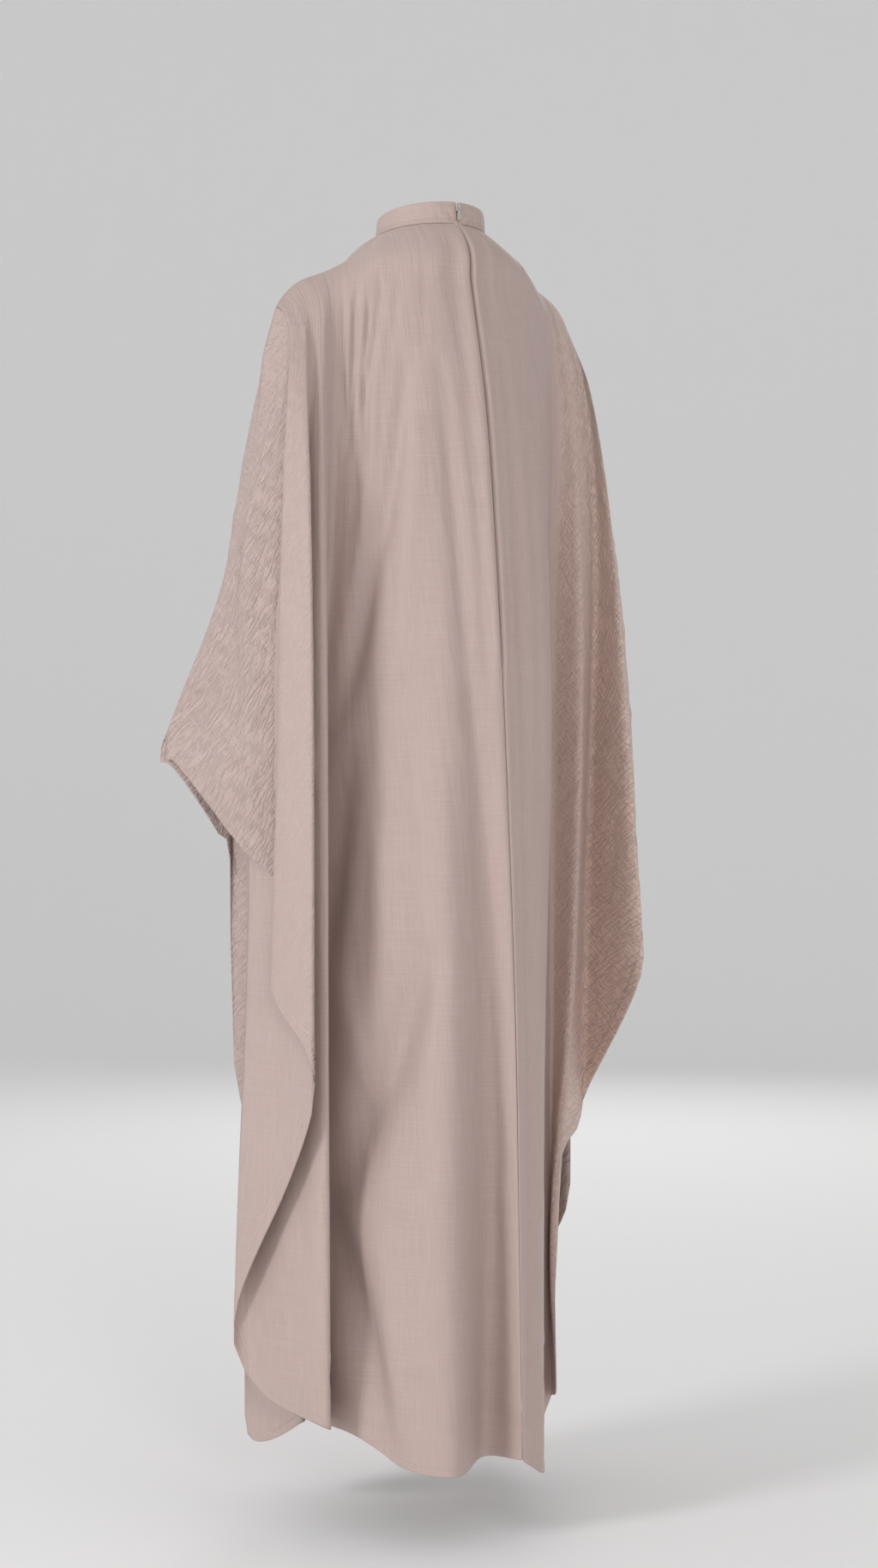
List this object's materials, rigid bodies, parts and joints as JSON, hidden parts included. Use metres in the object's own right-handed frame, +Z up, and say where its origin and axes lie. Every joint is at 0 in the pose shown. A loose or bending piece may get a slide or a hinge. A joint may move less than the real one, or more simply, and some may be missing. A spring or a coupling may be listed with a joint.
{
  "type": "kaftan",
  "caption": "Full-length batwing kaftan with a stand collar, concealed back zip and free sleeve wings that fall in folds to the hem.",
  "frame": {"origin": "between the wearer's shoulders, where the body holds the garment up", "axes": "+Z up, the wearer faces -Y, the wearer's left is +X"},
  "size_m": [0.6202, 0.3445, 1.4456],
  "materials": {
    "linen": "soft slub cross-weave, slight sheen",
    "zip_metal": "pale nickel"
  },
  "bodies": {
    "garment": {"front": "linen", "back_left": "linen", "back_right": "linen", "collar_left": "linen", "collar_right": "linen", "zip_slider": "zip_metal"},
    "pull": {"zip_pull": "zip_metal"}
  },
  "joints": [
    {"name": "pull_swing", "type": "hinge", "parent": "garment", "child": "pull", "pos_m": [0, 0.0661, 0.056], "axis": [1, 0, 0], "range_deg": [0, 160]}
  ]
}
